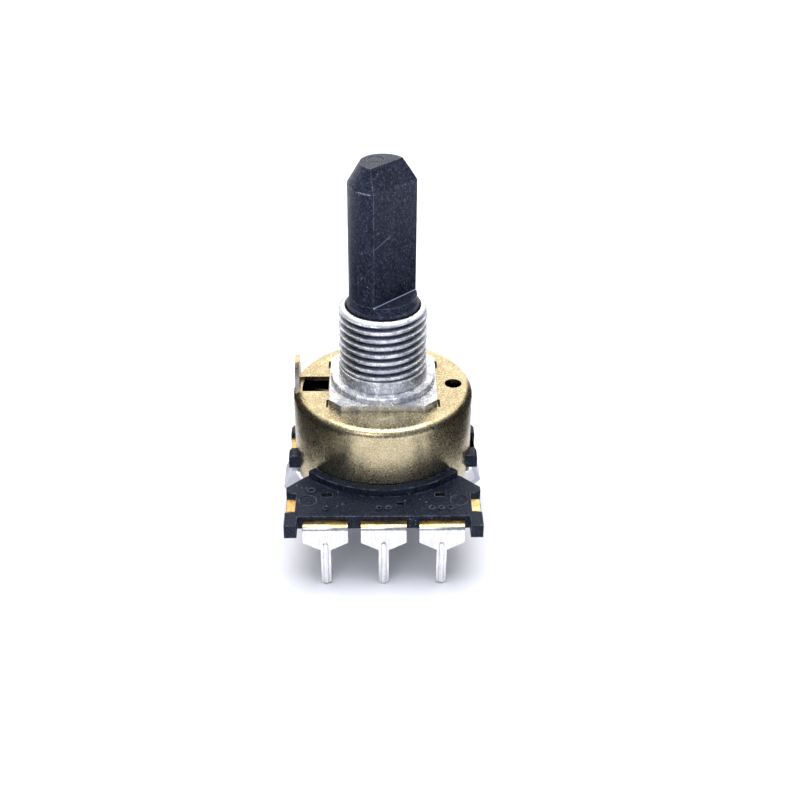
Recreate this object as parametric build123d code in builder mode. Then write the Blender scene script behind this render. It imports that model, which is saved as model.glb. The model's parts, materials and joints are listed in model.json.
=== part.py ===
from build123d import *
import os
from math import cos, radians, sin

# A 16 mm class incremental rotary encoder with three terminals and a flatted plastic shaft.
# The origin is on the shaft axis, at the shoulder that seats against a panel.
# +Z points out of the shaft's tip, and the row of terminals lies towards -Y.

# Shaft
SHAFT_R = 3.0
SHAFT_TIP = 20.0
JOURNAL_R = 3.2
JOURNAL_TOP = 7.25
FLAT_LENGTH = 12.0
FLAT_TO_AXIS = 1.5
FLAT_R = 2.98  # the flatted length is moulded a hair under the round shoulder below it
FLAT_ANGLE = -45.0
TIP_BEVEL_R = 1.05
TIP_BEVEL_H = 1.8
GATE_R = 0.7
GATE_OFFSET = (-0.6, 0.6)
GATE_GROOVE = (0.12, 0.08)
KEY_R = 2.4
KEY_ACROSS = 3.8
PIVOT_R = 1.3
PIVOT_BEVEL = 0.8

# Threaded bushing
BUSHING_TOP = 7.0
THREAD_PITCH = 0.75
THREAD_CREST_R = 3.93
THREAD_ROOT_R = 3.52
LAND_R = 3.97
LAND_TOP = 1.1
BORE_R = 3.25
BOSS_R = 4.7
FLANGE_SIDE = 9.6
FLANGE_CORNER = 1.1
FLANGE_DROP = 0.6
RIVET_R = 4.3
RIVET_LIP_R = 4.7

# Housing cup, pressed from sheet
SHEET = 0.4
FACE_Z = -1.2
CUP_R = 8.15
CUP_EDGE_R = 0.8
CUP_LIP_Z = -7.4
CLAW_ANGLES = (28.0, 152.0, 208.0, 332.0)
CLAW_ROOT = 2.6
CLAW_TIP = 1.25
CLAW_INNER_R = 5.25
CLAW_LAP = 0.05
TAB_HOLE_X = (-7.5, -4.9)
TAB_WIDTH = 2.6
TAB_TIP = 1.4
TAB_TOP = 1.5
VENT_X = 6.4
VENT_R = 0.78
TAB_SHOULDER = 1.3
SLIT_X = 4.95
SLIT_Y = 3.4
SLIT_SIZE = (0.22, 1.3)
SIDE_NOTCH = 5.6
SIDE_NOTCH_TOP = -7.3

# Terminal base, moulded round the lead frame
BASE_TOP = -7.4
BASE_BACK = -8.7
BASE_R = 7.7
COLLAR_R = 8.97
COLLAR_INNER_R = 8.22
COLLAR_TOP = -6.66
COLLAR_SPAN = 96.0
COLLAR_CHORD_Y = 8.57
WALL_INNER_R = 7.15
WALL_TOP = -5.9
WAFER_EDGE_Y = -11.7
WAFER_HALF = 7.65
EAR_OUT = 8.5
EAR_Y = (-13.0, -11.1)
HOOK_OUT = 8.57
BOSS_Y = (1.25, 2.6)
BOSS_OUT = 8.7
BOSS_BEVEL = 0.25
WAFER_OUTLINE = (
    (6.45, -5.55),
    (7.05, -5.95),
    (HOOK_OUT, -7.5),
    (HOOK_OUT, -8.05),
    (8.0, -8.4),
    (WAFER_HALF, -8.45),
    (WAFER_HALF, EAR_Y[1]),
    (EAR_OUT, EAR_Y[1]),
    (EAR_OUT, EAR_Y[0]),
    (7.43, EAR_Y[0]),
    (7.43, WAFER_EDGE_Y),
    (0, WAFER_EDGE_Y),
)
INSPECTION_Y = -8.6
INSPECTION_SLOT = (1.06, 0.6)
KEY_SLOT_X = 1.45
KEY_SLOT_Y = -9.9
KEY_SLOT_SIZE = (0.7, 0.4)
EJECTOR_X = 6.6
EJECTOR_Y = -9.4
EJECTOR_R = 0.75
BACKING_R = 0.95

# Lead frame: terminals and the stubs left where it was cut from its strip
LEAD_TOP = -7.85
LEAD_T = 0.4
PIN_PITCH = 5.0
PIN_ROW_Y = -12.5
PIN_TIP = -14.0
PIN_WIDTH = 0.9
SHOULDER_WIDTH = 3.92
SHOULDER_Z = -9.5
SEAT_Z = -10.3
NECK_WIDTH = 1.8
PHASE_PAD_X = 4.4
PHASE_PAD_Y = -4.1
COMMON_PAD_Y = -4.9
PAD_WIDTH = 2.0
PAD_LENGTH = 1.7
PAD_LAP = 0.1
BEAD_TOP = -9.5
BEAD_R = 0.2
STUB_ROOT_X = 7.0
SIDE_STUB_OUT = 8.6
SIDE_STUB_HALF = 1.15
END_STUB_Y = (-10.35, -8.7)

# Rear plate and its two mounting lugs
PLATE_TOP = -8.7
PLATE_T = 0.45
PLATE_OUT_X = 8.0
PLATE_OUTLINE = (
    (8.0, -2.4),
    (8.0, 2.4),
    (6.45, 4.95),
    (5.65, 6.5),
    (-5.65, 6.5),
    (-6.45, 4.95),
    (-8.0, 2.4),
    (-8.0, -2.4),
    (-6.45, -4.95),
    (-5.65, -6.8),
    (5.65, -6.8),
    (6.45, -4.95),
)
PLATE_RIBS_Y = (-6.6, -6.1, 5.75, 6.25)
RIB_LENGTH = 10.4
RIB_WIDTH = 0.34
RIB_H = 0.14
DIMPLE_R = 1.65
DIMPLE_H = 0.55
PIVOT_FIT = 0.06
LUG_TIP = -14.0
LUG_BEND_R = 0.15
LUG_RIGHT_WIDTH = 1.95
LUG_RIGHT_Y = 1.0
LUG_RIGHT_SPINE = ((7.4, -9.15), (8.0, -9.15), (8.85, -11.9), (7.6, -13.2), (7.9, LUG_TIP))
LUG_LEFT_WIDTH = 3.35
LUG_LEFT_Y = -0.7
LUG_LEFT_SPINE = ((7.4, -9.15), (8.0, -9.15), (8.8, -11.0), (7.2, LUG_TIP))

# Rotor stack
DETENTS = 24
ROTOR_TOP = -3.2
ROTOR_BACK = -6.2
ROTOR_R = 6.9
RING_INNER_R = 4.9
RING_T = 0.3
HUB_R = 2.7
HUB_DROP = 0.35
WASHER_T = 0.2
GROOVE_R = 0.4
GROOVE_DEPTH = 0.18
SPRING_T = 0.2
SPRING_R = 7.4
SPRING_ARM_Y = 6.0
SPRING_ARM_W = 0.9
SPRING_SLOT = 4.0
SPRING_SLOT_X = 0.6
SPRING_CLEAR = 0.2
WINDOW_LENGTH = 0.75
WINDOW_WIDTH = 1.3
CONTACT_T = 0.12
CONTACT_W = 1.1
CONTACT_SLIT = 0.25
DISC_T = 0.25
DISC_R = 6.7
TRACK_R = 5.25  # where the two phase contacts ride
COMMON_R = 3.5  # where the common contact rides
PHASE_ANGLE = 58.125  # degrees each side of -Y, which sets the two phases a quarter step apart
GAP = 0.03

os.makedirs("parts", exist_ok=True)


def keep(builder, name):
    """Labels a finished piece and writes it."""
    builder.part.label = name
    export_step(builder.part, f"parts/{name}.step")


def wedge(middle, span):
    """The corners of a triangle from the axis that covers a sector of the part."""
    reach = 5 * CUP_R
    ends = (radians(middle - span / 2), radians(middle + span / 2))
    return [(0, 0)] + [(reach * cos(a), reach * sin(a)) for a in ends]


def ribbon(points, thickness):
    """The edge-on outline of a bent sheet: one side, then the other, mitred at the bends."""
    runs = [(Vector(*b) - Vector(*a)).normalized() for a, b in zip(points, points[1:])]
    normals = [Vector(-run.Y, run.X) for run in runs]
    normals = [normals[0], *normals, normals[-1]]
    far = [
        Vector(*point) + (before + after) * (thickness / (1 + before.dot(after)))
        for point, before, after in zip(points, normals, normals[1:])
    ]
    return [*points, *[(p.X, p.Y) for p in reversed(far)]]


# Shaft: flatted free end, journal, drive key for the rotor and a pivot at its foot
flat_from = SHAFT_TIP - FLAT_LENGTH
bevel_from = SHAFT_TIP - TIP_BEVEL_H
key_top = ROTOR_TOP + 1.1
key_foot = BASE_TOP + 0.9
pivot_foot = PLATE_TOP + DIMPLE_H + GAP
with BuildPart() as shaft:
    with BuildSketch(Plane.XZ):
        with BuildLine():
            Polyline(
                (0, pivot_foot),
                (PIVOT_R - PIVOT_BEVEL, pivot_foot),
                (PIVOT_R, pivot_foot + 0.5),
                (PIVOT_R, key_foot),
                (KEY_R, key_foot),
                (KEY_R, key_top),
                (JOURNAL_R, key_top),
                (JOURNAL_R, JOURNAL_TOP - 0.1),
                (JOURNAL_R - 0.1, JOURNAL_TOP),
                (SHAFT_R, JOURNAL_TOP),
                (SHAFT_R, flat_from),
                (FLAT_R, flat_from),
                (FLAT_R, bevel_from),
                (FLAT_R - TIP_BEVEL_R, SHAFT_TIP),
                (0, SHAFT_TIP),
                close=True,
            )
        make_face()
    revolve(axis=Axis.Z)
    flat_plane = Plane.XZ.rotated((0, 0, FLAT_ANGLE))
    with BuildSketch(flat_plane):
        with BuildLine():
            Polyline(
                (FLAT_TO_AXIS, flat_from),
                (2 * SHAFT_R, flat_from),
                (2 * SHAFT_R, SHAFT_TIP + 1),
                (FLAT_TO_AXIS - TIP_BEVEL_R, SHAFT_TIP + 1),
                (FLAT_TO_AXIS - TIP_BEVEL_R, SHAFT_TIP),
                (FLAT_TO_AXIS, bevel_from),
                close=True,
            )
        make_face()
    extrude(amount=2 * SHAFT_R, both=True, mode=Mode.SUBTRACT)
    # a shallow ring round the gate mark on the tip
    with BuildSketch(Plane.XY.offset(SHAFT_TIP)):
        with Locations(GATE_OFFSET):
            Circle(GATE_R)
            Circle(GATE_R - GATE_GROOVE[0], mode=Mode.SUBTRACT)
    extrude(amount=-GATE_GROOVE[1], mode=Mode.SUBTRACT)
    # two flats drive the rotor
    with BuildSketch(Plane.XY.offset(key_foot)):
        Rectangle(4 * KEY_R, 4 * KEY_R)
        Rectangle(KEY_ACROSS, 4 * KEY_R, mode=Mode.SUBTRACT)
    extrude(amount=key_top - key_foot, mode=Mode.SUBTRACT)
keep(shaft, "shaft")

# Bushing: die-cast, riveted through the housing's face, with a helical thread
lip_z = FACE_Z - SHEET - 0.2
thread_start = LAND_TOP - 1.2 * THREAD_PITCH
with BuildPart() as bushing:
    with BuildSketch(Plane.XY.offset(FACE_Z)):
        Rectangle(FLANGE_SIDE, FLANGE_SIDE)
        chamfer(vertices(), FLANGE_CORNER)
        Circle(BORE_R, mode=Mode.SUBTRACT)
    extrude(amount=FLANGE_DROP)
    with BuildSketch(Plane.XZ):
        with BuildLine():
            Polyline(
                (BORE_R, lip_z),
                (RIVET_LIP_R, lip_z),
                (RIVET_LIP_R, FACE_Z - SHEET),
                (RIVET_R, FACE_Z - SHEET),
                (RIVET_R, FACE_Z + 0.1),
                (BOSS_R, FACE_Z + 0.1),
                (BOSS_R, -0.12),
                (BOSS_R - 0.12, 0),
                (LAND_R, 0),
                (LAND_R, LAND_TOP),
                (THREAD_ROOT_R, LAND_TOP + 0.25),
                (THREAD_ROOT_R, BUSHING_TOP),
                (BORE_R, BUSHING_TOP),
                close=True,
            )
        make_face()
    revolve(axis=Axis.Z)
    with BuildLine():
        thread_path = Helix(
            pitch=THREAD_PITCH,
            height=BUSHING_TOP + THREAD_PITCH - thread_start,
            radius=THREAD_ROOT_R,
            center=(0, 0, thread_start),
        )
    ridge = THREAD_CREST_R - THREAD_ROOT_R
    with BuildSketch(Plane(thread_path @ 0, x_dir=(1, 0, 0), z_dir=thread_path % 0)):
        with BuildLine():
            Polyline(
                (-0.1, -0.36),
                (0.02, -0.33),
                (ridge, -0.09),
                (ridge, 0.09),
                (0.02, 0.33),
                (-0.1, 0.36),
                close=True,
            )
        make_face()
    sweep(path=thread_path, is_frenet=True)
    # trim the thread square at the rim, bevel it, and open the bore
    with BuildSketch(Plane.XZ):
        with BuildLine():
            Polyline(
                (0, BUSHING_TOP),
                (THREAD_ROOT_R - 0.02, BUSHING_TOP),
                (THREAD_CREST_R + 0.1, BUSHING_TOP - 0.45),
                (2 * LAND_R, BUSHING_TOP - 0.45),
                (2 * LAND_R, BUSHING_TOP + 3),
                (0, BUSHING_TOP + 3),
                close=True,
            )
        make_face()
    revolve(axis=Axis.Z, mode=Mode.SUBTRACT)
    with BuildSketch(Plane.XZ):
        with BuildLine():
            Polyline(
                (0, BUSHING_TOP - 0.15),
                (BORE_R, BUSHING_TOP - 0.15),
                (BORE_R + 0.15, BUSHING_TOP + 0.01),
                (0, BUSHING_TOP + 0.01),
                close=True,
            )
        make_face()
    revolve(axis=Axis.Z, mode=Mode.SUBTRACT)
keep(bushing, "bushing")

# Claws: cut from a full ring, so that they keep the curve of the cup's wall
plate_back = PLATE_TOP - PLATE_T
claw_foot = plate_back - SHEET
with BuildPart() as claws:
    with BuildSketch(Plane.XZ):
        with BuildLine():
            Polyline(
                (CUP_R - SHEET, PLATE_TOP + CLAW_LAP),
                (CUP_R, PLATE_TOP + CLAW_LAP),
                (CUP_R, claw_foot),
                (CLAW_INNER_R, claw_foot),
                (CLAW_INNER_R, plate_back),
                (CUP_R - SHEET, plate_back),
                close=True,
            )
        make_face()
        fillet(vertices().sort_by_distance((CUP_R, claw_foot))[0], 0.35)
    revolve(axis=Axis.Z)
    with BuildSketch(Plane.XY.offset(claw_foot)):
        for angle in CLAW_ANGLES:
            with Locations(Location((0, 0, 0), (0, 0, angle))):
                Polygon(
                    (CLAW_INNER_R, -CLAW_TIP / 2),
                    (CUP_R - 2 * SHEET, -CLAW_ROOT / 2),
                    (CUP_R + 1, -CLAW_ROOT / 2),
                    (CUP_R + 1, CLAW_ROOT / 2),
                    (CUP_R - 2 * SHEET, CLAW_ROOT / 2),
                    (CLAW_INNER_R, CLAW_TIP / 2),
                    align=None,
                )
    extrude(amount=2, mode=Mode.INTERSECT)

# Housing: a drawn cup with a lanced tab, and the claws folded over the rear plate
tab_hole_middle = (TAB_HOLE_X[0] + TAB_HOLE_X[1]) / 2
with BuildPart() as housing:
    with BuildSketch(Plane.XZ):
        with BuildLine():
            Polyline(
                (0, FACE_Z),
                (CUP_R, FACE_Z),
                (CUP_R, PLATE_TOP),
                (CUP_R - SHEET, PLATE_TOP),
                (CUP_R - SHEET, FACE_Z - SHEET),
                (0, FACE_Z - SHEET),
                close=True,
            )
        make_face()
        fillet(vertices().sort_by_distance((CUP_R, FACE_Z))[0], CUP_EDGE_R)
        fillet(vertices().sort_by_distance((CUP_R - SHEET, FACE_Z - SHEET))[0], CUP_EDGE_R - SHEET)
    revolve(axis=Axis.Z)
    # towards -Y and +Y the wall ends on the base's shoulder
    with BuildSketch(Plane.XY.offset(PLATE_TOP - 1)):
        for middle in (-90, 90):
            Polygon(*wedge(middle, COLLAR_SPAN + 2), align=None)
    extrude(amount=CUP_LIP_Z - PLATE_TOP + 1, mode=Mode.SUBTRACT)
    # notches for the base's side bosses
    with BuildSketch(Plane.XY.offset(PLATE_TOP - 1)):
        Rectangle(3 * CUP_R, SIDE_NOTCH)
    extrude(amount=SIDE_NOTCH_TOP - PLATE_TOP + 1, mode=Mode.SUBTRACT)
    # centre hole, tab hole, vent hole and four staking slits beside the bushing's flange
    with BuildSketch(Plane.XY.offset(FACE_Z - SHEET)):
        Circle(RIVET_R)
        with Locations((tab_hole_middle, 0)):
            Rectangle(TAB_HOLE_X[1] - TAB_HOLE_X[0], TAB_WIDTH)
        with Locations((VENT_X, 0)):
            Circle(VENT_R)
        with GridLocations(2 * SLIT_X, 2 * SLIT_Y, 2, 2):
            Rectangle(*SLIT_SIZE)
    extrude(amount=SHEET, mode=Mode.SUBTRACT)
    # the lanced tab stands on the outer edge of its hole
    with BuildSketch(Plane.YZ.offset(TAB_HOLE_X[0] - SHEET)):
        Polygon(
            (-TAB_WIDTH / 2, FACE_Z - SHEET / 2),
            (TAB_WIDTH / 2, FACE_Z - SHEET / 2),
            (TAB_WIDTH / 2, FACE_Z + TAB_SHOULDER),
            (TAB_TIP / 2, TAB_TOP),
            (-TAB_TIP / 2, TAB_TOP),
            (-TAB_WIDTH / 2, FACE_Z + TAB_SHOULDER),
            align=None,
        )
    extrude(amount=SHEET)
    add(claws.part)
keep(housing, "housing")

# Lead frame: each terminal runs from a pad inside the base to a shouldered pin, bent down past the edge
lead_back = LEAD_TOP - LEAD_T
pin_front = PIN_ROW_Y - LEAD_T / 2
pin_rear = PIN_ROW_Y + LEAD_T / 2
bead_y = pin_front + BEAD_R / 2
bead_foot = PIN_TIP + 0.1
terminals = {}
for name, pin_x, pad_x, pad_y in (
    ("terminal_a", PIN_PITCH, PHASE_PAD_X, PHASE_PAD_Y),
    ("terminal_b", -PIN_PITCH, -PHASE_PAD_X, PHASE_PAD_Y),
    ("terminal_common", 0.0, 0.0, COMMON_PAD_Y),
):
    neck_length = pad_y - PAD_LENGTH + PAD_LAP - WAFER_EDGE_Y
    with BuildPart() as terminal:
        with BuildSketch(Plane.YZ.offset(pin_x)):
            with BuildLine():
                Polyline(
                    (pad_y, LEAD_TOP),
                    (pin_front, LEAD_TOP),
                    (pin_front, PIN_TIP),
                    (pin_rear, PIN_TIP),
                    (pin_rear, lead_back),
                    (pad_y, lead_back),
                    close=True,
                )
            make_face()
            fillet(vertices().sort_by_distance((pin_front, LEAD_TOP))[0], LEAD_T + 0.1)
            fillet(vertices().sort_by_distance((pin_rear, lead_back))[0], 0.1)
        extrude(amount=SHOULDER_WIDTH / 2, both=True)
        # front outline: shoulder, taper, and a pin with a rounded tip
        with BuildSketch(Plane.XZ):
            with Locations((pin_x, 0)):
                Polygon(
                    (-SHOULDER_WIDTH / 2, LEAD_TOP + 1),
                    (-SHOULDER_WIDTH / 2, SHOULDER_Z),
                    (-PIN_WIDTH / 2, SEAT_Z),
                    (-PIN_WIDTH / 2, PIN_TIP + PIN_WIDTH / 2),
                    (PIN_WIDTH / 2, PIN_TIP + PIN_WIDTH / 2),
                    (PIN_WIDTH / 2, SEAT_Z),
                    (SHOULDER_WIDTH / 2, SHOULDER_Z),
                    (SHOULDER_WIDTH / 2, LEAD_TOP + 1),
                    align=None,
                )
            with Locations((pin_x, PIN_TIP + PIN_WIDTH / 2)):
                Circle(PIN_WIDTH / 2)
        extrude(amount=-PIN_ROW_Y + 2, mode=Mode.INTERSECT)
        # top outline: full width outside the base, a narrow neck within it
        with BuildSketch(Plane.XY.offset(PIN_TIP - 1)):
            with Locations((pin_x, WAFER_EDGE_Y)):
                Rectangle(SHOULDER_WIDTH, 3, align=(Align.CENTER, Align.MAX))
                Rectangle(NECK_WIDTH, neck_length, align=(Align.CENTER, Align.MIN))
        extrude(amount=10, mode=Mode.INTERSECT)
        # the inner pad, where the contact is welded
        with BuildSketch(Plane.XY.offset(lead_back)):
            with Locations((pad_x, pad_y)):
                Rectangle(PAD_WIDTH, PAD_LENGTH, align=(Align.CENTER, Align.MAX))
        extrude(amount=LEAD_T)
        # a stiffening bead runs down the middle of the pin
        with BuildSketch(Plane.XZ.offset(-bead_y)):
            with Locations((pin_x, (BEAD_TOP + bead_foot) / 2)):
                SlotOverall(BEAD_TOP - bead_foot, 2 * BEAD_R, rotation=90)
        extrude(amount=BEAD_R)
    keep(terminal, name)
    terminals[name] = terminal.part

# Stubs left on the base's ends and sides where the lead frame was cut from its strip
stubs = {}
for name, x_from, x_to, y_from, y_to in (
    ("end_stub_right", STUB_ROOT_X, EAR_OUT, END_STUB_Y[0], END_STUB_Y[1]),
    ("end_stub_left", -EAR_OUT, -STUB_ROOT_X, END_STUB_Y[0], END_STUB_Y[1]),
    ("side_stub_right", STUB_ROOT_X, SIDE_STUB_OUT, -SIDE_STUB_HALF, SIDE_STUB_HALF),
    ("side_stub_left", -SIDE_STUB_OUT, -STUB_ROOT_X, -SIDE_STUB_HALF, SIDE_STUB_HALF),
):
    with BuildPart() as stub:
        with BuildSketch(Plane.XY.offset(lead_back)):
            with Locations(((x_from + x_to) / 2, (y_from + y_to) / 2)):
                Rectangle(x_to - x_from, y_to - y_from)
        extrude(amount=LEAD_T)
        fillet(edges().filter_by(Axis.Y).group_by(Axis.Z)[-1], 0.08)
    keep(stub, name)
    stubs[name] = stub.part

# Base: terminal wafer, shoulder and collar in one moulding
side_span = 180 - COLLAR_SPAN
boss_depth = BOSS_OUT - BASE_R + 0.4
boss_x = BOSS_OUT - boss_depth / 2
boss_y = (BOSS_Y[0] + BOSS_Y[1]) / 2
pocket_depth = BASE_TOP - LEAD_TOP
with BuildPart() as base:
    with BuildSketch(Plane.XY.offset(BASE_BACK)):
        Circle(COLLAR_R)
        for middle in (0, 180):
            Polygon(*wedge(middle, side_span), align=None, mode=Mode.SUBTRACT)
        Circle(BASE_R)
        with Locations((0, COLLAR_CHORD_Y)):
            Rectangle(3 * COLLAR_R, COLLAR_R, align=(Align.CENTER, Align.MIN), mode=Mode.SUBTRACT)
        with BuildLine():
            outline = Polyline(*WAFER_OUTLINE)
            mirror(outline, Plane.YZ)
            Line(outline @ 0, (-WAFER_OUTLINE[0][0], WAFER_OUTLINE[0][1]))
        make_face()
        with GridLocations(2 * boss_x, 2 * boss_y, 2, 2):
            Rectangle(boss_depth, BOSS_Y[1] - BOSS_Y[0])
        with GridLocations(2 * PIN_PITCH, 1, 2, 1), Locations((0, INSPECTION_Y)):
            SlotOverall(*INSPECTION_SLOT, mode=Mode.SUBTRACT)
        with Locations((KEY_SLOT_X, KEY_SLOT_Y)):
            Rectangle(*KEY_SLOT_SIZE, mode=Mode.SUBTRACT)
    extrude(amount=BASE_TOP - BASE_BACK)
    # the side bosses are bevelled along their outer top edges
    top_edges = edges().filter_by(Axis.Y).filter_by_position(Axis.Z, BASE_TOP - 0.01, BASE_TOP + 0.01)
    chamfer(top_edges.group_by(Axis.X)[0] + top_edges.group_by(Axis.X)[-1], BOSS_BEVEL)
    # collar outside the cup's wall, and a locating wall inside it
    with BuildSketch(Plane.XY.offset(BASE_TOP)):
        Circle(COLLAR_R)
        Circle(COLLAR_INNER_R, mode=Mode.SUBTRACT)
        for middle in (0, 180):
            Polygon(*wedge(middle, side_span), align=None, mode=Mode.SUBTRACT)
        with Locations((0, COLLAR_CHORD_Y)):
            Rectangle(3 * COLLAR_R, COLLAR_R, align=(Align.CENTER, Align.MIN), mode=Mode.SUBTRACT)
    extrude(amount=COLLAR_TOP - BASE_TOP)
    with BuildSketch(Plane.XY.offset(BASE_TOP)):
        Circle(BASE_R)
        Circle(WALL_INNER_R, mode=Mode.SUBTRACT)
    extrude(amount=WALL_TOP - BASE_TOP)
    # pivot hole, with room for the rear plate's dimple
    with Locations((0, 0, BASE_TOP)):
        Hole(PIVOT_R + PIVOT_FIT)
    with BuildSketch(Plane.XY.offset(BASE_BACK)):
        Circle(DIMPLE_R + 0.2)
    extrude(amount=DIMPLE_H + 0.1, mode=Mode.SUBTRACT)
    # pockets over the pads
    with BuildSketch(Plane.XY.offset(LEAD_TOP)):
        for pad_x, pad_y in ((PHASE_PAD_X, PHASE_PAD_Y), (-PHASE_PAD_X, PHASE_PAD_Y), (0, COMMON_PAD_Y)):
            with Locations((pad_x, pad_y + 0.2)):
                Rectangle(PAD_WIDTH, PAD_LENGTH, align=(Align.CENTER, Align.MAX))
    extrude(amount=pocket_depth, mode=Mode.SUBTRACT)
    # half-round lugs that back the terminals at the edge
    with BuildSketch(Plane.XY.offset(BASE_BACK)):
        for x in (-PIN_PITCH, 0, PIN_PITCH):
            with Locations((x, WAFER_EDGE_Y + 0.35)):
                Circle(BACKING_R)
    extrude(amount=lead_back - BASE_BACK)
    # two ejector marks on the top
    with BuildSketch(Plane.XY.offset(BASE_TOP)):
        with Locations((-EJECTOR_X, EJECTOR_Y), (EJECTOR_X, EJECTOR_Y)):
            Circle(EJECTOR_R)
    extrude(amount=-0.1, mode=Mode.SUBTRACT)
    # the lead frame is moulded in
    for piece in (*terminals.values(), *stubs.values()):
        add(piece, mode=Mode.SUBTRACT)
keep(base, "base")

# Rear plate: octagonal, ribbed along two edges, with a thrust dimple and two snap-in lugs
dimple_ball = (DIMPLE_R**2 + DIMPLE_H**2) / (2 * DIMPLE_H)
dimple_z = PLATE_TOP + DIMPLE_H - dimple_ball
with BuildPart() as rear_plate:
    with BuildSketch(Plane.XY.offset(plate_back)):
        Polygon(*PLATE_OUTLINE, align=None)
        for angle in CLAW_ANGLES:
            with Locations(Location((0, 0, 0), (0, 0, angle))):
                with Locations((BASE_R - 0.12, 0)):
                    Rectangle(2, CLAW_ROOT + 0.1, align=(Align.MIN, Align.CENTER), mode=Mode.SUBTRACT)
    extrude(amount=PLATE_T)
    # pressed ribs along the edges towards -Y and +Y
    for rib_y in PLATE_RIBS_Y:
        with BuildSketch(Plane.XY.offset(plate_back)):
            with Locations((0, rib_y)):
                SlotOverall(RIB_LENGTH, RIB_WIDTH)
        extrude(amount=-RIB_H, taper=30)
    # the thrust dimple, domed towards the shaft's pivot and hollow behind
    for radius, mode in ((dimple_ball, Mode.ADD), (dimple_ball - PLATE_T + 0.1, Mode.SUBTRACT)):
        with BuildSketch(Plane.XZ):
            with Locations((0, dimple_z)):
                Circle(radius)
            with Locations((0, plate_back + (0.2 if mode == Mode.ADD else -0.5))):
                Rectangle(DIMPLE_R + 1, 2, align=(Align.MIN, Align.MIN), mode=Mode.INTERSECT)
        revolve(axis=Axis.Z, mode=mode)
    # lugs: sheet bent down and kinked so that they snap into a board
    for side, width, middle_y, spine in (
        (1, LUG_RIGHT_WIDTH, LUG_RIGHT_Y, LUG_RIGHT_SPINE),
        (-1, LUG_LEFT_WIDTH, LUG_LEFT_Y, LUG_LEFT_SPINE),
    ):
        with BuildSketch(Plane.XZ.offset(-middle_y)):
            Polygon(*ribbon([(side * x, z) for x, z in spine], side * PLATE_T), align=None)
            fillet(vertices(), LUG_BEND_R)
        extrude(amount=width / 2, both=True)
    # the wider lug ends in a half round
    with BuildSketch(Plane.YZ.offset(-2 * PLATE_OUT_X)):
        with Locations((LUG_LEFT_Y, LUG_TIP - 1)):
            Rectangle(LUG_LEFT_WIDTH + 2, 1 + LUG_LEFT_WIDTH / 2, align=(Align.CENTER, Align.MIN))
        with Locations((LUG_LEFT_Y, LUG_TIP + LUG_LEFT_WIDTH / 2)):
            Circle(LUG_LEFT_WIDTH / 2, mode=Mode.SUBTRACT)
    extrude(amount=2 * PLATE_OUT_X, mode=Mode.SUBTRACT)
keep(rear_plate, "rear_plate")

# Thrust washer under the bushing's riveted lip
with BuildPart() as thrust_washer:
    with BuildSketch(Plane.XY.offset(lip_z - WASHER_T)):
        Circle(RIVET_LIP_R - 0.2)
        Circle(JOURNAL_R + 0.1, mode=Mode.SUBTRACT)
    extrude(amount=WASHER_T)
keep(thrust_washer, "thrust_washer")

# Rotor: hub and disc, driven by the shaft's flats
hub_top = lip_z - WASHER_T - GAP
with BuildPart() as rotor:
    with BuildSketch(Plane.XZ):
        with BuildLine():
            Polyline(
                (0, ROTOR_BACK - HUB_DROP),
                (HUB_R, ROTOR_BACK - HUB_DROP),
                (HUB_R, ROTOR_BACK),
                (ROTOR_R, ROTOR_BACK),
                (ROTOR_R, ROTOR_BACK + 0.9),
                (ROTOR_R - 0.8, ROTOR_BACK + 1.2),
                (ROTOR_R - 0.8, ROTOR_TOP - 0.9),
                (ROTOR_R, ROTOR_TOP - 0.6),
                (ROTOR_R, ROTOR_TOP),
                (RING_INNER_R - 0.1, ROTOR_TOP),
                (RING_INNER_R - 0.1, hub_top),
                (0, hub_top),
                close=True,
            )
        make_face()
    revolve(axis=Axis.Z)
    add(shaft.part, mode=Mode.SUBTRACT)
keep(rotor, "rotor")

# Detent ring on top of the rotor, with a radial groove at each step
with BuildPart() as detent_ring:
    with BuildSketch(Plane.XY.offset(ROTOR_TOP)):
        Circle(ROTOR_R - 0.2)
        Circle(RING_INNER_R, mode=Mode.SUBTRACT)
    extrude(amount=RING_T)
    with BuildSketch(Plane.YZ):
        with Locations((0, ROTOR_TOP + RING_T + GROOVE_R - GROOVE_DEPTH)):
            Circle(GROOVE_R)
    groove = extrude(amount=ROTOR_R + 1, mode=Mode.PRIVATE)
    with PolarLocations(0, DETENTS):
        add(groove, mode=Mode.SUBTRACT)
keep(detent_ring, "detent_ring")

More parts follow.
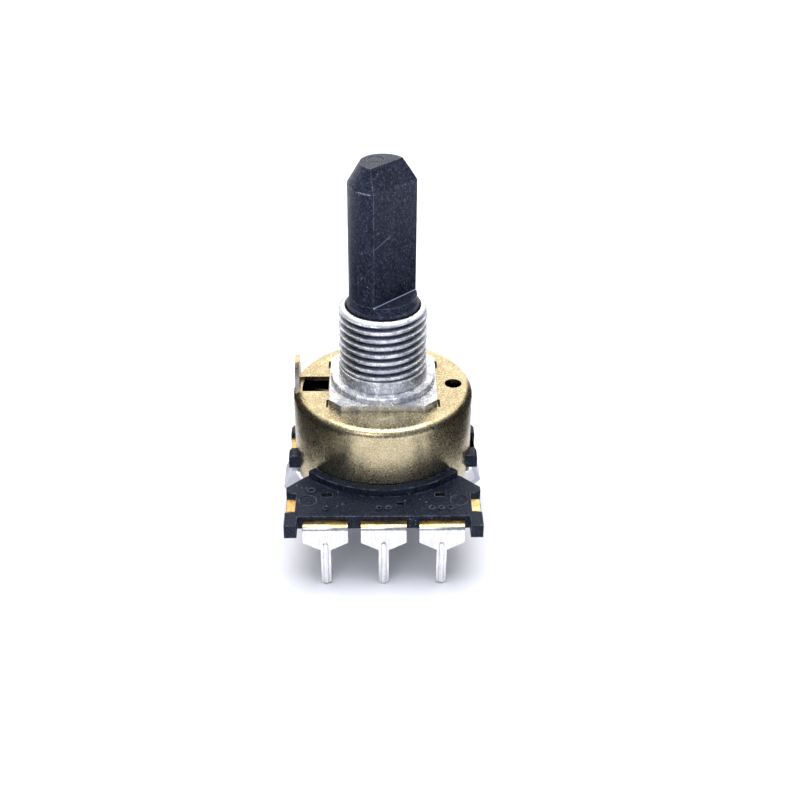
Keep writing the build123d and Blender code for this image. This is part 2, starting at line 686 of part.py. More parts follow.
# Detent spring: a flat ring under the housing's face, open under the tab hole and notched under the
# vent hole, with two arms that press a bump into a groove
spring_top = FACE_Z - SHEET
with BuildPart() as detent_spring:
    with BuildSketch(Plane.XY.offset(spring_top - SPRING_T)):
        Circle(SPRING_R)
        Circle(RIVET_LIP_R + 0.15, mode=Mode.SUBTRACT)
        with Locations((-SPRING_SLOT_X, SPRING_ARM_Y), (SPRING_SLOT_X, -SPRING_ARM_Y)):
            Rectangle(SPRING_SLOT, SPRING_ARM_W + 0.4, mode=Mode.SUBTRACT)
        with Locations((tab_hole_middle, 0)):
            Rectangle(2 * RIVET_LIP_R, TAB_WIDTH + 2 * SPRING_CLEAR, mode=Mode.SUBTRACT)
        with Locations((VENT_X - VENT_R - SPRING_CLEAR, 0)):
            Rectangle(
                SPRING_R,
                2 * (VENT_R + SPRING_CLEAR),
                align=(Align.MIN, Align.CENTER),
                mode=Mode.SUBTRACT,
            )
    extrude(amount=SPRING_T)
    for side in (-1, 1):
        root_x = -SPRING_SLOT_X - SPRING_SLOT / 2
        with BuildSketch(Plane.XZ.offset(-side * SPRING_ARM_Y)):
            arm = (
                (side * (root_x - 0.3), spring_top - SPRING_T),
                (side * (root_x + 0.3), spring_top - SPRING_T),
                (0, ROTOR_TOP + RING_T + GAP - GROOVE_DEPTH + 0.05),
                (side * 0.8, ROTOR_TOP + RING_T + 0.35),
            )
            Polygon(*ribbon(arm, side * SPRING_T), align=None)
        extrude(amount=SPRING_ARM_W / 2, both=True)
keep(detent_spring, "detent_spring")

# Code disc under the rotor: a common ring and a coded track with one window at each step
disc_top = ROTOR_BACK
with BuildPart() as code_disc:
    with BuildSketch(Plane.XY.offset(disc_top - DISC_T)):
        Circle(DISC_R)
        Circle(HUB_R, mode=Mode.SUBTRACT)
        with PolarLocations((TRACK_R + COMMON_R) / 2 + 0.9, DETENTS, start_angle=7.5):
            Trapezoid(WINDOW_LENGTH, WINDOW_WIDTH, 86, rotation=-90, mode=Mode.SUBTRACT)
    extrude(amount=DISC_T)
keep(code_disc, "code_disc")

# Contacts: twin spring fingers that rise from the pads to the code disc
touch_z = disc_top - DISC_T - GAP
phase_tip = (TRACK_R * sin(radians(PHASE_ANGLE)), -TRACK_R * cos(radians(PHASE_ANGLE)))
for name, tip_x, tip_y, pad_y in (
    ("contact_a", phase_tip[0], phase_tip[1], PHASE_PAD_Y),
    ("contact_b", -phase_tip[0], phase_tip[1], PHASE_PAD_Y),
    ("contact_common", 0.0, -COMMON_R, COMMON_PAD_Y),
):
    with BuildPart() as contact:
        with BuildSketch(Plane.YZ.offset(tip_x)):
            finger = (
                (pad_y - PAD_LENGTH + 0.3, LEAD_TOP),
                (pad_y - 0.35, LEAD_TOP),
                (tip_y, touch_z - 1.4 * CONTACT_T),
                (tip_y + 0.5, touch_z - CONTACT_T - 0.3),
            )
            Polygon(*ribbon(finger, CONTACT_T), align=None)
        extrude(amount=CONTACT_W / 2, both=True)
        # the slit between the two fingers
        with BuildSketch(Plane.XY.offset(LEAD_TOP - 1)):
            with Locations((tip_x, pad_y - 0.3)):
                Rectangle(CONTACT_SLIT, 5, align=(Align.CENTER, Align.MIN))
        extrude(amount=4, mode=Mode.SUBTRACT)
    keep(contact, name)
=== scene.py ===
import json
from math import cos, pi, radians, sin

import bmesh
import bpy
from mathutils import Matrix, Vector


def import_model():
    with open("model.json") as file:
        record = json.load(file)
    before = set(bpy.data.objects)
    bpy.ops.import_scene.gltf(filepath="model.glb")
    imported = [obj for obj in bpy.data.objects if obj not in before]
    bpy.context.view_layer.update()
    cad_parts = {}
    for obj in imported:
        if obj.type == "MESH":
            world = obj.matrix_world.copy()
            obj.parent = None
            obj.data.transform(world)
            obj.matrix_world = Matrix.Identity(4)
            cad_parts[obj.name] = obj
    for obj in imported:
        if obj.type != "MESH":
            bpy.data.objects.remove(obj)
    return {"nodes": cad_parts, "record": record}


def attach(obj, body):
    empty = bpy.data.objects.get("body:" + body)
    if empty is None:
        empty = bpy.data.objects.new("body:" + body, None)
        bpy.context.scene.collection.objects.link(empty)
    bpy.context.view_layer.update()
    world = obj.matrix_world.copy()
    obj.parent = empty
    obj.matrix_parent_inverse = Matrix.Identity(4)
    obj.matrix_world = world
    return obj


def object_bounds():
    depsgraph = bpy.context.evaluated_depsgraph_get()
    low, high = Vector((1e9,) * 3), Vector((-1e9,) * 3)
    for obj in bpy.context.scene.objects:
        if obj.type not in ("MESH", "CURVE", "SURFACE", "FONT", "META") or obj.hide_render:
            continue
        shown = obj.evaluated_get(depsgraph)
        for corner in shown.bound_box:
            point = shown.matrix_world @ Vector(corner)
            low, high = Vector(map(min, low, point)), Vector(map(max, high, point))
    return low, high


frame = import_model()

# A rotary encoder: plastic shaft, die-cast threaded bushing, passivated steel cup, black terminal wafer,
# tinned pins and a rear plate with two snap-in lugs. Patterns and places below are in millimetres.
MM = 0.001
cad_box = [list(corner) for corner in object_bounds()]
nodes = frame["nodes"]

# Camera, in the frame's millimetres
CAMERA_AT = (-0.4, -92.6, 54.9)
CAMERA_AIM = (0.018, 0.848, -0.530)
CAMERA_RIGHT = (1.000, -0.017, 0.007)
CAMERA_LENS = 53.4
CAMERA_SENSOR = 36.0

# Studio. Each dark card has its place across and its front end; they share a back end and a top.
FLAGS = {"flag_left": (-16.0, -24.0), "flag_right": (16.0, -15.0)}
FLAG_BACK = 16.0
FLAG_TOP = 7.5
FLOOR_REACH = 1500
SKY_COLOUR = (0.70, 0.80, 1.0)
SKY_STRENGTH = 0.36
BACKDROP_COLOUR = (1.0, 0.96, 0.90)
BACKDROP_STRENGTH = 1.7
BACKDROP_START, BACKDROP_FULL = 0.05, 0.6

# Rounding of the CAD pieces' sharp edges: widths in millimetres, and the angles that count as sharp and flat
EDGE_WIDTHS = {
    "shaft": 0.06,
    "housing": 0.05,
    "base": 0.05,
    "rear_plate": 0.05,
    "bushing": 0.03,
    "terminal_a": 0.05,
    "terminal_b": 0.05,
    "terminal_common": 0.05,
}
EDGE_WIDTH = 0.03
EDGE_ANGLE = radians(28)
FLAT_ANGLE = radians(0.4)

# The shaft's flat: the way it faces, its distance from the axis and the height of the shelf at its foot
FLAT_FACING = (cos(pi / 4), -sin(pi / 4), 0)
FLAT_TO_AXIS = 1.5
SHELF_HEIGHT = 8.0

# Flash at the foot of the shaft's tip bevel, and a short line rubbed across its flat
BURR_HEIGHT = 18.2
RUB_ACROSS = (-0.239, -0.239, 0.941)
RUB_DISTANCE = 13.43
RUB_CENTRE = (-0.05, -2.17, 13.7)
RUB_REACH = 1.4
# Pale colour of scuffs, dust, flash and rubs, also used for painted highlights on edges and at the flat's
# foot.
SCUFF_AND_HIGHLIGHT = (0.30, 0.34, 0.46)

# Bushing: the height of its rim, and the radii where its thread crests begin and end
BUSHING_LIP = 7.0
CREST_START, CREST_FULL = 3.74, 3.9

# Rear plate: heights where its ribs stand proud and where its lugs begin and end
RIB_START, RIB_FULL = -9.16, -9.24
LUG_START, LUG_FULL = -9.6, -10.2

# Cup: the heights between which its sheared tab begins
TAB_START, TAB_FULL = -1.2, -0.9

# Raised marks on the wafer: its top face, their height, and their row of rings
WAFER_TOP = -7.4
MARK_HEIGHT = 0.16
MARK_ROW = -10.62
MARK_RING = (0.33, 0.13)
MARKS = {-5.0: (0.0,), 0.0: (-0.4, 0.4), 5.0: (-0.8, 0.0, 0.8)}
CORNER_RING_AT = (-6.35, -8.05)
CORNER_RING = (0.4, 0.18)
RING_SIDES = 20


class Look:
    """A node material whose patterns are laid out in the piece's own coordinates, in millimetres."""

    def __init__(self, name, **constants):
        self.material = bpy.data.materials.new(name)
        self.material.use_nodes = True
        self.tree = self.material.node_tree
        self.shader = self.tree.nodes["Principled BSDF"]
        for socket, value in constants.items():
            self.shader.inputs[socket.replace("_", " ")].default_value = value
        coordinates = self.node("ShaderNodeTexCoord")
        self.normal = coordinates.outputs["Normal"]
        self.place = self.vector("SCALE", coordinates.outputs["Object"], Scale=1 / MM)

    def node(self, kind, **settings):
        made = self.tree.nodes.new(kind)
        for name, value in settings.items():
            setattr(made, name, value)
        return made

    def feed(self, socket, value):
        if isinstance(value, bpy.types.NodeSocket):
            self.tree.links.new(value, socket)
        else:
            socket.default_value = value

    def vector(self, operation, a, b=None, **inputs):
        made = self.node("ShaderNodeVectorMath", operation=operation)
        self.feed(made.inputs[0], a)
        if b is not None:
            self.feed(made.inputs[1], b)
        for name, value in inputs.items():
            self.feed(made.inputs[name], value)
        return made.outputs["Value" if operation in ("DOT_PRODUCT", "LENGTH") else "Vector"]

    def maths(self, operation, a, b=0.0):
        made = self.node("ShaderNodeMath", operation=operation)
        self.feed(made.inputs[0], a)
        self.feed(made.inputs[1], b)
        return made.outputs[0]

    def remap(self, value, low, high, start=0.0, stop=1.0):
        """Takes low..high to start..stop with soft ends."""
        made = self.node("ShaderNodeMapRange", interpolation_type="SMOOTHSTEP")
        for socket, number in zip(made.inputs, (value, low, high, start, stop)):
            self.feed(socket, number)
        return made.outputs[0]

    def mix(self, factor, a, b):
        made = self.node("ShaderNodeMix", data_type="RGBA")
        self.feed(made.inputs[0], factor)
        self.feed(made.inputs[6], a if isinstance(a, bpy.types.NodeSocket) else (*a, 1))
        self.feed(made.inputs[7], b if isinstance(b, bpy.types.NodeSocket) else (*b, 1))
        return made.outputs[2]

    def band(self, value, middle, reach):
        """A mask that is 1 where value is at middle, and gone at reach from it."""
        away = self.maths("ABSOLUTE", self.maths("SUBTRACT", value, middle))
        return self.remap(away, reach, 0.4 * reach)

    def noise(self, per_mm, detail=3.0, rough=0.55, stretch=(1, 1, 1), shift=(0, 0, 0)):
        place = self.vector("MULTIPLY", self.vector("ADD", self.place, shift), stretch)
        made = self.node("ShaderNodeTexNoise")
        self.feed(made.inputs["Vector"], place)
        self.feed(made.inputs["Scale"], per_mm)
        self.feed(made.inputs["Detail"], detail)
        self.feed(made.inputs["Roughness"], rough)
        return made.outputs["Fac"]

    def specks(self, per_mm, share, radius):
        """A mask of small round specks, in a share of the cells of a grid with per_mm cells a millimetre."""
        made = self.node("ShaderNodeTexVoronoi")
        self.feed(made.inputs["Vector"], self.place)
        self.feed(made.inputs["Scale"], per_mm)
        near = self.remap(made.outputs["Distance"], radius, 0.5 * radius)
        split = self.node("ShaderNodeSeparateColor")
        self.feed(split.inputs[0], made.outputs["Color"])
        return self.maths("MULTIPLY", near, self.maths("LESS_THAN", split.outputs[0], share))

    def hairlines(self, per_mm, stretch, width):
        """A mask of fine broken scratches that follow the long direction of stretch."""
        line = self.noise(per_mm, detail=1.0, stretch=stretch)
        away = self.maths("ABSOLUTE", self.maths("SUBTRACT", line, 0.5))
        broken = self.remap(self.noise(0.7 * per_mm, detail=2.0, shift=(7, 3, 5)), 0.5, 0.62)
        return self.maths("MULTIPLY", self.remap(away, width, 0.0), broken)

    def edges(self, radius):
        """A mask that is 1 along sharp edges, out to about radius."""
        rounded = self.node("ShaderNodeBevel", samples=4)
        self.feed(rounded.inputs["Radius"], radius * MM)
        true = self.node("ShaderNodeNewGeometry").outputs["Normal"]
        along = self.vector("DOT_PRODUCT", rounded.outputs["Normal"], true)
        return self.remap(along, 0.985, 0.86)

    def corner_shade(self, reach):
        """A mask that is 1 in the depths of corners, for painted shade where light is short."""
        made = self.node("ShaderNodeAmbientOcclusion", samples=6)
        self.feed(made.inputs["Distance"], reach * MM)
        return self.remap(made.outputs["AO"], 0.75, 0.25)

    def split(self, vector):
        made = self.node("ShaderNodeSeparateXYZ")
        self.feed(made.inputs[0], vector)
        return made.outputs

    def around(self):
        """Distance from the shaft's axis, in millimetres."""
        return self.vector("LENGTH", self.vector("MULTIPLY", self.place, (1, 1, 0)))

    def relief(self, *layers):
        """Stacks bumps, each a height mask with its depth in millimetres."""
        under = None
        for height, depth in layers:
            made = self.node("ShaderNodeBump")
            self.feed(made.inputs["Distance"], depth * MM)
            self.feed(made.inputs["Height"], height)
            if under:
                self.feed(made.inputs["Normal"], under)
            under = made.outputs["Normal"]
        self.feed(self.shader.inputs["Normal"], under)

    def finish(self, colour, roughness):
        self.feed(self.shader.inputs["Base Color"], colour)
        self.feed(self.shader.inputs["Roughness"], roughness)
        return self.material


def black_plastic(name, dark, light, marks=None):
    """Matt glass-filled moulding: mottled, finely pitted, dusty, paler along its edges from wear and painted
    highlight, and darker in corners from painted shade.
    Marks is a function that adds what only this piece carries."""
    look = Look(name, Specular_IOR_Level=0.24, Specular_Tint=(0.62, 0.76, 1.0, 1.0))
    cloud = look.noise(0.5, detail=4.0)
    grain = look.noise(5.0, detail=3.0, rough=0.8)
    dust = look.specks(2.2, 0.2, 0.19)
    flecks = look.specks(5.5, 0.2, 0.25)
    scratches = look.hairlines(0.35, (1.0, 1.0, 0.5), 0.0016)
    ragged = look.remap(look.noise(1.3, detail=3.0), 0.4, 0.62, 0.15, 1.0)
    # Paler edges: partly wear, partly painted highlight.
    wear_and_highlight = look.maths("MULTIPLY", look.edges(0.11), ragged)
    body = look.mix(look.remap(cloud, 0.3, 0.7), dark, light)
    body = look.mix(look.remap(grain, 0.5, 0.66), body, [2.9 * part for part in light])
    body = look.mix(look.remap(grain, 0.5, 0.36), body, [0.3 * part for part in dark])
    body = look.mix(look.maths("MULTIPLY", dust, 0.5), body, SCUFF_AND_HIGHLIGHT)
    body = look.mix(look.maths("MULTIPLY", flecks, 0.22), body, SCUFF_AND_HIGHLIGHT)
    body = look.mix(look.maths("MULTIPLY", scratches, 0.3), body, SCUFF_AND_HIGHLIGHT)
    body = look.mix(look.maths("MULTIPLY", wear_and_highlight, 0.75), body, SCUFF_AND_HIGHLIGHT)
    # Painted shade: darker in corners.
    body = look.mix(look.maths("MULTIPLY", look.corner_shade(0.3), 0.7), body, [0.2 * part for part in dark])
    if marks:
        body = marks(look, body)
    rough = look.remap(cloud, 0.3, 0.7, 0.36, 0.5)
    rough = look.maths("SUBTRACT", rough, look.maths("MULTIPLY", wear_and_highlight, 0.12))
    look.relief((cloud, 0.02), (grain, 0.035), (scratches, -0.01))
    return look.finish(body, rough)


def shaft_marks(look, body):
    """Ragged flash at the tip's bevel on the round side, a painted highlight along the flat's foot, and a
    faint rub.
    """
    height = look.split(look.place)[2]
    side = look.vector("DOT_PRODUCT", look.place, FLAT_FACING)
    broken = look.remap(look.noise(3.5, detail=3.0), 0.45, 0.6)
    round_side = look.remap(side, FLAT_TO_AXIS, FLAT_TO_AXIS - 0.1)
    burr = look.maths("MULTIPLY", broken, round_side)
    burr = look.maths("MULTIPLY", look.band(height, BURR_HEIGHT, 0.08), burr)
    body = look.mix(look.maths("MULTIPLY", burr, 0.75), body, SCUFF_AND_HIGHLIGHT)
    # Painted highlight along the corner where the flat meets the shelf.
    foot_highlight = look.band(side, FLAT_TO_AXIS, 0.09)
    foot_highlight = look.maths("MULTIPLY", foot_highlight, look.band(height, SHELF_HEIGHT, 0.09))
    body = look.mix(look.maths("MULTIPLY", foot_highlight, 0.8), body, [1.6 * part for part in SCUFF_AND_HIGHLIGHT])
    across = look.vector("DOT_PRODUCT", look.place, RUB_ACROSS)
    away = look.vector("LENGTH", look.vector("SUBTRACT", look.place, RUB_CENTRE))
    rub = look.remap(away, RUB_REACH, 0.5 * RUB_REACH)
    rub = look.maths("MULTIPLY", look.band(across, RUB_DISTANCE, 0.07), rub)
    return look.mix(look.maths("MULTIPLY", rub, 0.3), body, SCUFF_AND_HIGHLIGHT)


def cast_zinc():
    """Frosted die casting with thread crests and rim lip painted near-white, partly rubbing and partly
    painted highlight, and grey valleys with painted shade.
    """
    look = Look("zinc_casting", Metallic=1.0)
    lumps = look.noise(1.1, detail=4.0)
    frost = look.noise(6.0, detail=4.0, rough=0.7)
    pits = look.specks(4.0, 0.25, 0.22)
    crest = look.remap(look.around(), CREST_START, CREST_FULL)
    # Thread crests and rim lip are painted near-white and smoother: partly rubbing, partly painted highlight.
    rubbed = look.maths("MULTIPLY", crest, look.remap(lumps, 0.35, 0.6, 0.35, 1.0))
    rubbed = look.maths("MULTIPLY", rubbed, look.remap(frost, 0.36, 0.54, 0.5, 1.0))
    lip = look.remap(look.split(look.place)[2], BUSHING_LIP - 0.4, BUSHING_LIP)
    rubbed = look.maths("MAXIMUM", rubbed, look.maths("MULTIPLY", lip, look.remap(lumps, 0.3, 0.5, 0.6, 1.0)))
    valley_shade = look.corner_shade(0.5)
    body = look.mix(look.remap(frost, 0.35, 0.65), (0.20, 0.22, 0.29), (0.42, 0.45, 0.56))
    # Painted highlight and rubbing on the crests and lip.
    body = look.mix(rubbed, body, (0.97, 0.98, 1.0))
    # Painted shade in the thread valleys and corners.
    body = look.mix(look.maths("MULTIPLY", valley_shade, 0.75), body, (0.06, 0.068, 0.10))
    body = look.mix(look.maths("MULTIPLY", pits, 0.3), body, (0.10, 0.11, 0.14))
    rough = look.remap(frost, 0.3, 0.7, 0.48, 0.36)
    rough = look.maths("SUBTRACT", rough, look.maths("MULTIPLY", rubbed, 0.16))
    look.relief((lumps, 0.16), (frost, 0.06), (pits, -0.03))
    return look.finish(body, rough)


def passivated_sheet():
    """Yellow-passivated zinc plate on drawn steel: fine crystalline grain, smoky patches, rubbed edges."""
    look = Look("yellow_passivated_sheet", Metallic=1.0)
    smoke = look.noise(0.16, detail=3.0, shift=(3, 8, 1))
    cloud = look.noise(0.7, detail=4.0)
    grain = look.noise(7.0, detail=2.0, rough=0.7)
    fine = look.noise(11.0, detail=1.0)
    rub = look.maths("MULTIPLY", look.edges(0.12), look.remap(look.noise(0.9), 0.35, 0.6, 0.3, 1.0))
    body = look.mix(look.remap(smoke, 0.38, 0.62), (0.43, 0.355, 0.21), (0.66, 0.56, 0.35))
    body = look.mix(look.remap(cloud, 0.35, 0.7, 0.0, 0.4), body, (0.33, 0.265, 0.145))
    body = look.mix(look.remap(grain, 0.45, 0.68, 0.0, 0.75), body, (0.95, 0.84, 0.58))
    body = look.mix(look.remap(fine, 0.50, 0.32, 0.0, 0.45), body, (0.22, 0.18, 0.09))
    body = look.mix(look.maths("MULTIPLY", rub, 0.5), body, (0.86, 0.80, 0.66))
    # Painted shade: darker in corners.
    body = look.mix(look.maths("MULTIPLY", look.corner_shade(0.6), 0.4), body, (0.12, 0.09, 0.05))
    height = look.split(look.place)[2]
    facing = look.maths("ABSOLUTE", look.split(look.normal)[1])
    sheared = look.maths("MULTIPLY", look.remap(facing, 0.8, 0.97), look.remap(height, TAB_START, TAB_FULL))
    body = look.mix(look.maths("MULTIPLY", sheared, 0.85), body, (0.30, 0.27, 0.27))
    rough = look.remap(grain, 0.3, 0.7, 0.24, 0.36)
    look.relief((cloud, 0.03), (grain, 0.006), (fine, 0.003))
    return look.finish(body, rough)


def tinned_strip():
    """Bright tin on the pins' faces; the bent top and the cut edges show the yellow alloy below."""
    look = Look("tinned_sheet", Metallic=1.0)
    facing = look.split(look.normal)
    cloud = look.noise(0.8, detail=3.0)
    drawn = look.noise(1.6, detail=3.0, stretch=(4, 4, 0.5))
    bare = look.maths("MULTIPLY", look.remap(facing[2], 0.55, 0.9), look.remap(cloud, 0.3, 0.55, 0.65, 1.0))
    rear = look.maths("MULTIPLY", look.remap(facing[1], 0.5, 0.9), look.remap(cloud, 0.35, 0.6, 0.5, 0.9))
    cut = look.maths("MULTIPLY", look.remap(look.maths("ABSOLUTE", facing[0]), 0.6, 0.95), 0.55)
    body = look.mix(look.remap(drawn, 0.35, 0.65), (0.74, 0.735, 0.74), (0.93, 0.925, 0.925))
    body = look.mix(bare, body, (0.80, 0.55, 0.20))
    body = look.mix(rear, body, (0.60, 0.45, 0.25))
    body = look.mix(cut, body, (0.66, 0.55, 0.40))
    # Painted shade: a dark brownish outline along the edges.
    body = look.mix(look.maths("MULTIPLY", look.edges(0.1), 0.8), body, (0.36, 0.26, 0.22))
    # Painted shade: darker in corners.
    body = look.mix(look.maths("MULTIPLY", look.corner_shade(0.3), 0.9), body, (0.34, 0.22, 0.19))
    rough = look.remap(cloud, 0.3, 0.7, 0.2, 0.34)
    look.relief((cloud, 0.02), (drawn, 0.006))
    return look.finish(body, rough)


def strip_alloy():
    """Bare copper-alloy strip with a sheared, heat-tinted end."""
    look = Look("gold_stub", Metallic=1.0)
    cloud = look.noise(1.6, detail=3.0)
    grain = look.noise(8.0, stretch=(1, 1, 0.3))
    side = look.split(look.place)[0]
    warm = look.remap(side, 2.0, -2.0, 0.0, 0.8)
    body = look.mix(look.remap(cloud, 0.35, 0.65), (0.80, 0.56, 0.20), (0.95, 0.76, 0.38))
    body = look.mix(warm, body, (0.86, 0.42, 0.12))
    body = look.mix(look.remap(grain, 0.45, 0.7, 0.0, 0.4), body, (0.98, 0.88, 0.66))
    rough = look.remap(grain, 0.3, 0.7, 0.25, 0.42)
    look.relief((cloud, 0.03), (grain, 0.01))
    return look.finish(body, rough)


def rolled_plate():
    """Mottled grey rolled steel, with painted highlights on its ribs, dimple and edges, and lugs painted a
    lighter bluish grey as painted reflection.
    """
    look = Look("plate_steel", Metallic=1.0)
    blotch = look.noise(0.45, detail=5.0, rough=0.65)
    drawn = look.noise(2.2, detail=3.0, stretch=(0.2, 3, 1))
    grain = look.noise(8.0, detail=2.0)
    low = look.split(look.place)[2]
    # Painted highlight where the ribs and dimple stand proud.
    proud_highlight = look.remap(low, RIB_START, RIB_FULL, 0.0, 0.8)
    # Lugs painted a lighter bluish grey: painted reflection.
    lug_reflection = look.remap(low, LUG_START, LUG_FULL)
    body = look.mix(look.remap(blotch, 0.35, 0.65), (0.16, 0.165, 0.19), (0.40, 0.41, 0.45))
    body = look.mix(look.remap(drawn, 0.45, 0.7, 0.0, 0.35), body, (0.66, 0.67, 0.70))
    body = look.mix(proud_highlight, body, (0.74, 0.75, 0.79))
    body = look.mix(look.maths("MULTIPLY", lug_reflection, 0.8), body, (0.56, 0.56, 0.64))
    # Painted highlight along the edges.
    body = look.mix(look.maths("MULTIPLY", look.edges(0.1), 0.5), body, (0.86, 0.86, 0.90))
    rough = look.remap(blotch, 0.3, 0.7, 0.46, 0.3)
    look.relief((blotch, 0.02), (drawn, 0.006), (grain, 0.006))
    return look.finish(body, rough)


def spring_strip(name, dark, light):
    """Rolled spring strip: fine lines along the rolling direction and a faint heat tint."""
    look = Look(name, Metallic=1.0)
    lines = look.noise(3.0, detail=3.0, stretch=(0.15, 3, 1))
    tint = look.noise(0.5, detail=2.0)
    body = look.mix(look.remap(lines, 0.35, 0.65), dark, light)
    body = look.mix(look.remap(tint, 0.45, 0.7, 0.0, 0.3), body, [0.6 * part for part in dark])
    body = look.mix(look.maths("MULTIPLY", look.edges(0.05), 0.4), body, light)
    look.relief((lines, 0.004))
    return look.finish(body, look.remap(tint, 0.3, 0.7, 0.25, 0.4))


def rotor_plastic():
    """Smooth dark acetal, greasy in patches."""
    look = Look("rotor_moulding")
    cloud = look.noise(0.6, detail=4.0)
    grain = look.noise(7.0)
    body = look.mix(look.remap(cloud, 0.35, 0.65), (0.012, 0.012, 0.014), (0.03, 0.03, 0.034))
    look.relief((grain, 0.006))
    return look.finish(body, look.remap(cloud, 0.35, 0.65, 0.3, 0.5))


def soften(node):
    """Rounds a CAD piece's sharp edges with modifiers, and leaves its own mesh as it is."""
    node.data.attributes.remove(node.data.attributes["custom_normal"])
    node.data.shade_smooth()
    weld = node.modifiers.new("weld", "WELD")
    weld.merge_threshold = 0.001 * MM
    flatten = node.modifiers.new("flatten", "DECIMATE")
    flatten.decimate_type = "DISSOLVE"
    flatten.angle_limit = FLAT_ANGLE
    bevel = node.modifiers.new("bevel", "BEVEL")
    bevel.width = EDGE_WIDTHS.get(node.name, EDGE_WIDTH) * MM
    bevel.segments = 2
    bevel.limit_method = "ANGLE"
    bevel.angle_limit = EDGE_ANGLE
    shade = node.modifiers.new("shade", "WEIGHTED_NORMAL")
    shade.keep_sharp = True


def dress(looks):
    """Gives every CAD node the look of its slot in the record, and rounds its edges."""
    for part in frame["record"]["subparts"]:
        node = nodes[part["node"]]
        node.data.materials.clear()
        node.data.materials.append(looks[part["material_slot"]])
        soften(node)


def new_piece(name, mesh, look, body):
    piece = bpy.data.objects.new(name, mesh)
    bpy.context.scene.collection.objects.link(piece)
    mesh.materials.append(look)
    mesh.shade_flat()
    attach(piece, body)
    return piece


def ring(bm, x, y, radius, hole):
    """A small raised ring on the wafer's top face."""
    crest = 0.85 * MARK_HEIGHT
    outside = [(radius, 0), (radius - 0.02, crest), (radius - 0.05, MARK_HEIGHT)]
    inside = [(hole + 0.05, MARK_HEIGHT), (hole + 0.02, crest), (hole, 0)]
    rounds = []
    for r, z in outside + inside:
        turns = [2 * pi * k / RING_SIDES for k in range(RING_SIDES)]
        places = [(x + r * cos(turn), y + r * sin(turn), WAFER_TOP + z) for turn in turns]
        rounds.append([bm.verts.new([part * MM for part in place]) for place in places])
    for outer, inner in zip(rounds, rounds[1:] + rounds[:1]):
        for k in range(RING_SIDES):
            after = (k + 1) % RING_SIDES
            bm.faces.new((outer[k], outer[after], inner[after], inner[k]))


def terminal_marks(look):
    """Generic raised marks that tell the three terminals apart, and a ring from the mould."""
    bm = bmesh.new()
    for x, shifts in MARKS.items():
        for shift in shifts:
            ring(bm, x + shift, MARK_ROW, *MARK_RING)
    ring(bm, *CORNER_RING_AT, *CORNER_RING)
    mesh = bpy.data.meshes.new("terminal_marks")
    bm.to_mesh(mesh)
    bm.free()
    return new_piece("terminal_marks", mesh, look, "housing")


def sheet_of(name, corners):
    """A flat four-cornered surface that isn't part of the object."""
    mesh = bpy.data.meshes.new(name)
    mesh.from_pydata([[part * MM for part in corner] for corner in corners], [], [(0, 1, 2, 3)])
    made = bpy.data.objects.new(name, mesh)
    bpy.context.scene.collection.objects.link(made)
    return made


def floor():
    """A plain pale floor under the object."""
    bottom = cad_box[0][2] / MM
    corners = ((-1, -1), (1, -1), (1, 1), (-1, 1))
    made = sheet_of("floor", [(x * FLOOR_REACH, y * FLOOR_REACH, bottom) for x, y in corners])
    look = Look("floor_paper")
    fleck = look.noise(0.8, detail=3.0)
    made.data.materials.append(look.finish(look.mix(fleck, (0.83, 0.85, 0.93), (0.86, 0.875, 0.95)), 0.7))


def flags():
    """Dark cards at both sides, seen only in reflections, which give the metal and plastic their contrast."""
    bottom = cad_box[0][2] / MM
    look = Look("flag_card")
    card = look.finish(look.mix(look.noise(0.05), (0.004, 0.004, 0.005), (0.01, 0.01, 0.012)), 0.9)
    for name, (x, front) in FLAGS.items():
        ends = ((front, bottom), (FLAG_BACK, bottom), (FLAG_BACK, FLAG_TOP), (front, FLAG_TOP))
        made = sheet_of(name, [(x, y, z) for y, z in ends])
        made.data.materials.append(card)
        made.visible_camera = False
        made.visible_diffuse = False
        made.visible_shadow = False


def world():
    """An even, dim, bluish sky with a bright, warm backdrop behind the object."""
    made = bpy.data.worlds.new("studio")
    bpy.context.scene.world = made
    made.use_nodes = True
    tree = made.node_tree
    background = tree.nodes["Background"]
    direction = tree.nodes.new("ShaderNodeTexCoord").outputs["Generated"]
    parts = tree.nodes.new("ShaderNodeSeparateXYZ")
    tree.links.new(direction, parts.inputs[0])
    behind = tree.nodes.new("ShaderNodeMapRange")
    behind.interpolation_type = "SMOOTHSTEP"
    tree.links.new(parts.outputs["Y"], behind.inputs["Value"])
    for socket, number in zip(behind.inputs[1:3], (BACKDROP_START, BACKDROP_FULL)):
        socket.default_value = number
    light = tree.nodes.new("ShaderNodeMix")
    light.data_type = "RGBA"
    tree.links.new(behind.outputs[0], light.inputs[0])
    light.inputs[6].default_value = (*[SKY_STRENGTH * part for part in SKY_COLOUR], 1)
    light.inputs[7].default_value = (*[BACKDROP_STRENGTH * part for part in BACKDROP_COLOUR], 1)
    tree.links.new(light.outputs[2], background.inputs["Color"])


def sun(strength, spread, towards):
    """A wide, soft light that covers the whole floor evenly."""
    light = bpy.data.lights.new("overhead", "SUN")
    light.energy = strength
    light.angle = spread
    light.color = (1.0, 0.98, 0.95)
    lamp = bpy.data.objects.new("overhead", light)
    bpy.context.scene.collection.objects.link(lamp)
    lamp.rotation_mode = "QUATERNION"
    lamp.rotation_quaternion = Vector(towards).to_track_quat("Z", "Y")


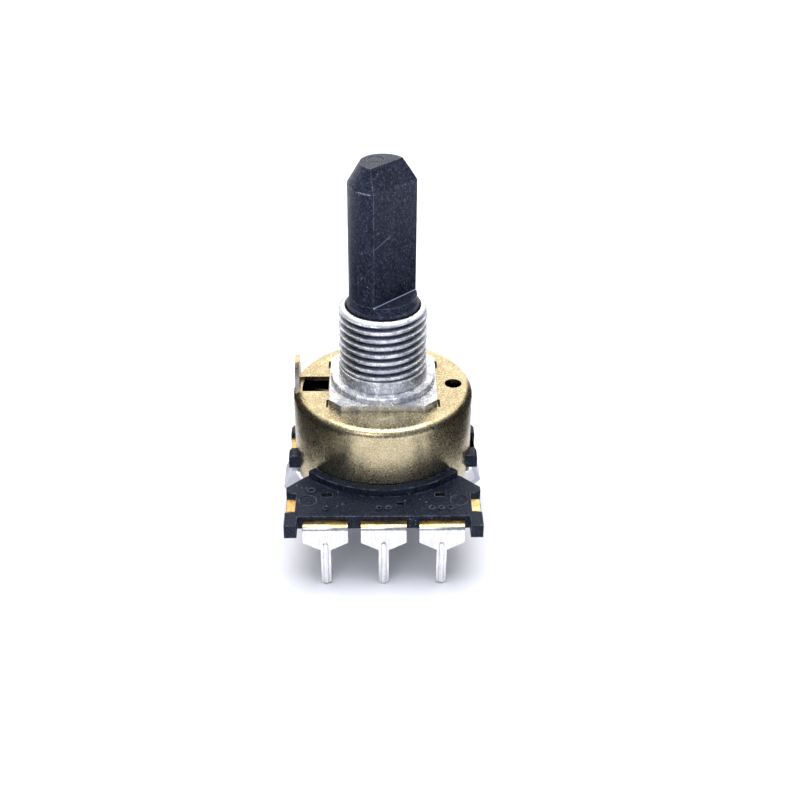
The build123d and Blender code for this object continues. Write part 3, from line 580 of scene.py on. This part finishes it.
def softbox(name, at, size, aim, power, colour=(1, 1, 1)):
    """A rectangular light at a place in millimetres, turned to its aim."""
    light = bpy.data.lights.new(name, "AREA")
    light.shape = "RECTANGLE"
    light.size = size[0] * MM
    light.size_y = size[1] * MM
    light.energy = power
    light.color = colour
    lamp = bpy.data.objects.new(name, light)
    bpy.context.scene.collection.objects.link(lamp)
    lamp.location = Vector(at) * MM
    lamp.rotation_mode = "QUATERNION"
    lamp.rotation_quaternion = (Vector(aim) - Vector(at)).to_track_quat("-Z", "Y")


def lights():
    sun(2.8, radians(52), (0.0, 0.06, 1.0))
    softbox("front", (-50, -150, 130), (90, 60), (0, 0, -4), 0.06, (1.0, 0.98, 0.96))


def camera():
    lens = bpy.data.cameras.new("camera")
    lens.lens = CAMERA_LENS
    lens.sensor_width = CAMERA_SENSOR
    lens.clip_start = 5 * MM
    eye = bpy.data.objects.new("camera", lens)
    bpy.context.scene.collection.objects.link(eye)
    forward = Vector(CAMERA_AIM).normalized()
    up = Vector(CAMERA_RIGHT).cross(forward).normalized()
    right = forward.cross(up)
    turn = Matrix((right, up, -forward)).transposed().to_4x4()
    eye.matrix_world = Matrix.Translation(Vector(CAMERA_AT) * MM) @ turn
    bpy.context.scene.camera = eye


looks = {
    "black_moulding": black_plastic("black_moulding", (0.005, 0.007, 0.014), (0.011, 0.014, 0.026)),
    "shaft_moulding": black_plastic(
        "shaft_moulding", (0.010, 0.012, 0.022), (0.019, 0.023, 0.040), shaft_marks
    ),
    "zinc_casting": cast_zinc(),
    "yellow_passivated_sheet": passivated_sheet(),
    "tinned_sheet": tinned_strip(),
    "gold_stub": strip_alloy(),
    "plate_steel": rolled_plate(),
    "spring_bronze": spring_strip("spring_bronze", (0.62, 0.42, 0.20), (0.80, 0.60, 0.34)),
    "spring_steel": spring_strip("spring_steel", (0.10, 0.10, 0.11), (0.22, 0.22, 0.24)),
    "rotor_moulding": rotor_plastic(),
}
dress(looks)
terminal_marks(looks["black_moulding"])
floor()
flags()
world()
lights()
camera()
bpy.context.scene.view_settings.view_transform = "Standard"
